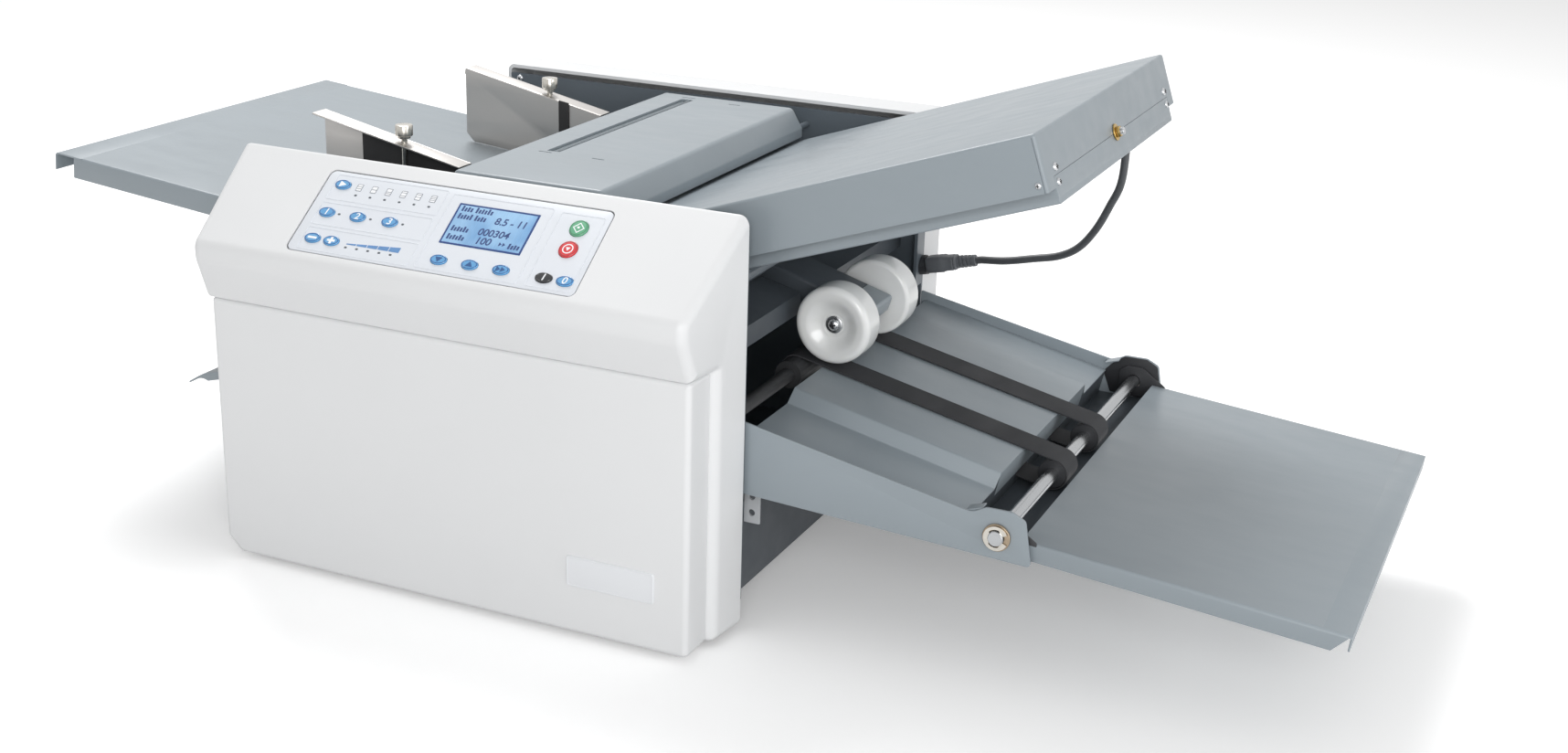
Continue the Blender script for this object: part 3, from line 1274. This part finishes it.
# Socket on the frame's flange: a short boss tilted up towards the fold plate
socket_frame = Matrix.Translation((frame_x1, socket_y, socket_z)) @ Matrix.Rotation(-socket_tilt, 4, "Y")
boss_back = socket_radius * math.tan(socket_tilt) + cut_overrun
cable_socket = cylinders("cable_socket", socket_radius, (-boss_back, socket_length), [(0, 0)], "X",
                         "plastic_black",
                         frame=socket_frame)
cut(cable_socket, box("socket_face", (frame_x1 - 2 * boss_back, socket_y - 2 * socket_radius,
                                      socket_z - 3 * socket_radius),
                      (frame_x1 + fit_gap, socket_y + 2 * socket_radius, socket_z + 3 * socket_radius),
                      None))

# Plug with its ribbed strain relief, in line with the socket
plug_start = socket_length + fit_gap
plug_end = plug_start + plug_length
relief_end = plug_end + relief_length
cable_plug = box("cable_plug", (plug_start, -plug_width / 2, -plug_height / 2),
                 (plug_end, plug_width / 2, plug_height / 2),
                 "plastic_grey", socket_frame)
soften(cable_plug, plug_height / 5, segments=2)
relief_profile = [(0, relief_end)]
for rib in range(relief_ribs, 0, -1):
    rib_end = plug_end + relief_length * rib / relief_ribs
    rib_radius = relief_tip_radius + (relief_radius - relief_tip_radius) * (relief_ribs - rib) / relief_ribs
    rib_half = relief_length / relief_ribs / 2
    relief_profile += [(rib_radius, rib_end), (rib_radius, rib_end - rib_half),
                       (rib_radius - relief_groove, rib_end - rib_half),
                       (rib_radius - relief_groove, rib_end - 2 * rib_half)]
relief_profile[-1] = (relief_radius - relief_groove, plug_end - relief_length / relief_ribs)
relief_profile += [(0, plug_end - relief_length / relief_ribs)]
join(cable_plug, turned("cable_strain_relief", relief_profile, None, socket_frame @ along_x, sides=12))

# Where the cable enters the fold plate, square to its bottom
gland_up = -fit_gap - lower_shell_wall
gland_frame = upper_frame @ Matrix.Translation((gland_along, gland_across, gland_up))

# Cable: from the strain relief, out past the wheels and up to the fold plate
relief_tip = socket_frame @ Vector((relief_end + fit_gap, 0, 0))
gland_tip = gland_frame @ Vector((0, 0, -fit_gap))
plug_way = socket_frame.to_3x3() @ Vector((1, 0, 0))
gland_way = gland_frame.to_3x3() @ Vector((0, 0, -1))
cable_route = [
    (0.5337, 0.4783, 0.2170), (0.5627, 0.4745, 0.2245), (0.5870, 0.4707, 0.2315), (0.6060, 0.4655, 0.2435),
    (0.6220, 0.4592, 0.2640), (0.6345, 0.4540, 0.2890), (0.6450, 0.4480, 0.3160)]


def smooth_route(points, spacing):
    """Even points on a smooth curve that passes through every route point."""
    ends = [2 * points[0] - points[1]] + points + [2 * points[-1] - points[-2]]
    fine = []
    for before, start, end, after in zip(ends, ends[1:], ends[2:], ends[3:]):
        for step in np.linspace(0.0, 1.0, 24, endpoint=False):
            bend = 2 * before - 5 * start + 4 * end - after
            twist = 3 * start - before - 3 * end + after
            fine.append((2 * start + (end - before) * step + bend * step ** 2 + twist * step ** 3) / 2)
    fine.append(points[-1])
    travelled = np.concatenate([[0.0], np.cumsum([(b - a).length for a, b in zip(fine, fine[1:])])])
    count = max(2, round(travelled[-1] / spacing))
    wanted = np.linspace(0.0, travelled[-1], count + 1)
    columns = [np.interp(wanted, travelled, [point[i] for point in fine]) for i in range(3)]
    return list(zip(*columns))


route = [relief_tip + plug_way * cable_straight]
route += [Vector(point) for point in cable_route]
route += [gland_tip + gland_way * cable_straight]
curve = bpy.data.curves.new("fold_plate_cable", "CURVE")
curve.dimensions = "3D"
curve.bevel_depth = cable_radius
curve.bevel_resolution = 2
curve.use_fill_caps = True
spline = curve.splines.new("POLY")
cable_points = [relief_tip] + smooth_route(route, 2.5 * cable_straight) + [gland_tip]
spline.points.add(len(cable_points) - 1)
for point, place in zip(spline.points, cable_points):
    point.co = (*place, 1.0)
cable = bpy.data.objects.new("fold_plate_cable", curve)
curve.materials.append(materials["plastic_grey"])
collection.objects.link(cable)
cable.parent = root

# Bracket under the conveyor: a small upright plate with two holes against the end of the base
bracket = box("conveyor_bracket", (base_x1 + fit_gap, bracket_y, bracket_low),
              (base_x1 + bracket_width, bracket_y + bracket_thickness, bracket_high), "zinc")
bracket_holes = [(base_x1 + bracket_width / 2, bracket_low + (bracket_high - bracket_low) * share)
                 for share in bracket_hole_shares]
for count, place in enumerate(bracket_holes):
    cut(bracket, cylinders(f"bracket_hole_{count}", bracket_hole_radius,
                           (bracket_y - cut_overrun, bracket_y + bracket_thickness + cut_overrun), [place],
                           "Y", None))
bpy.context.view_layer.update()
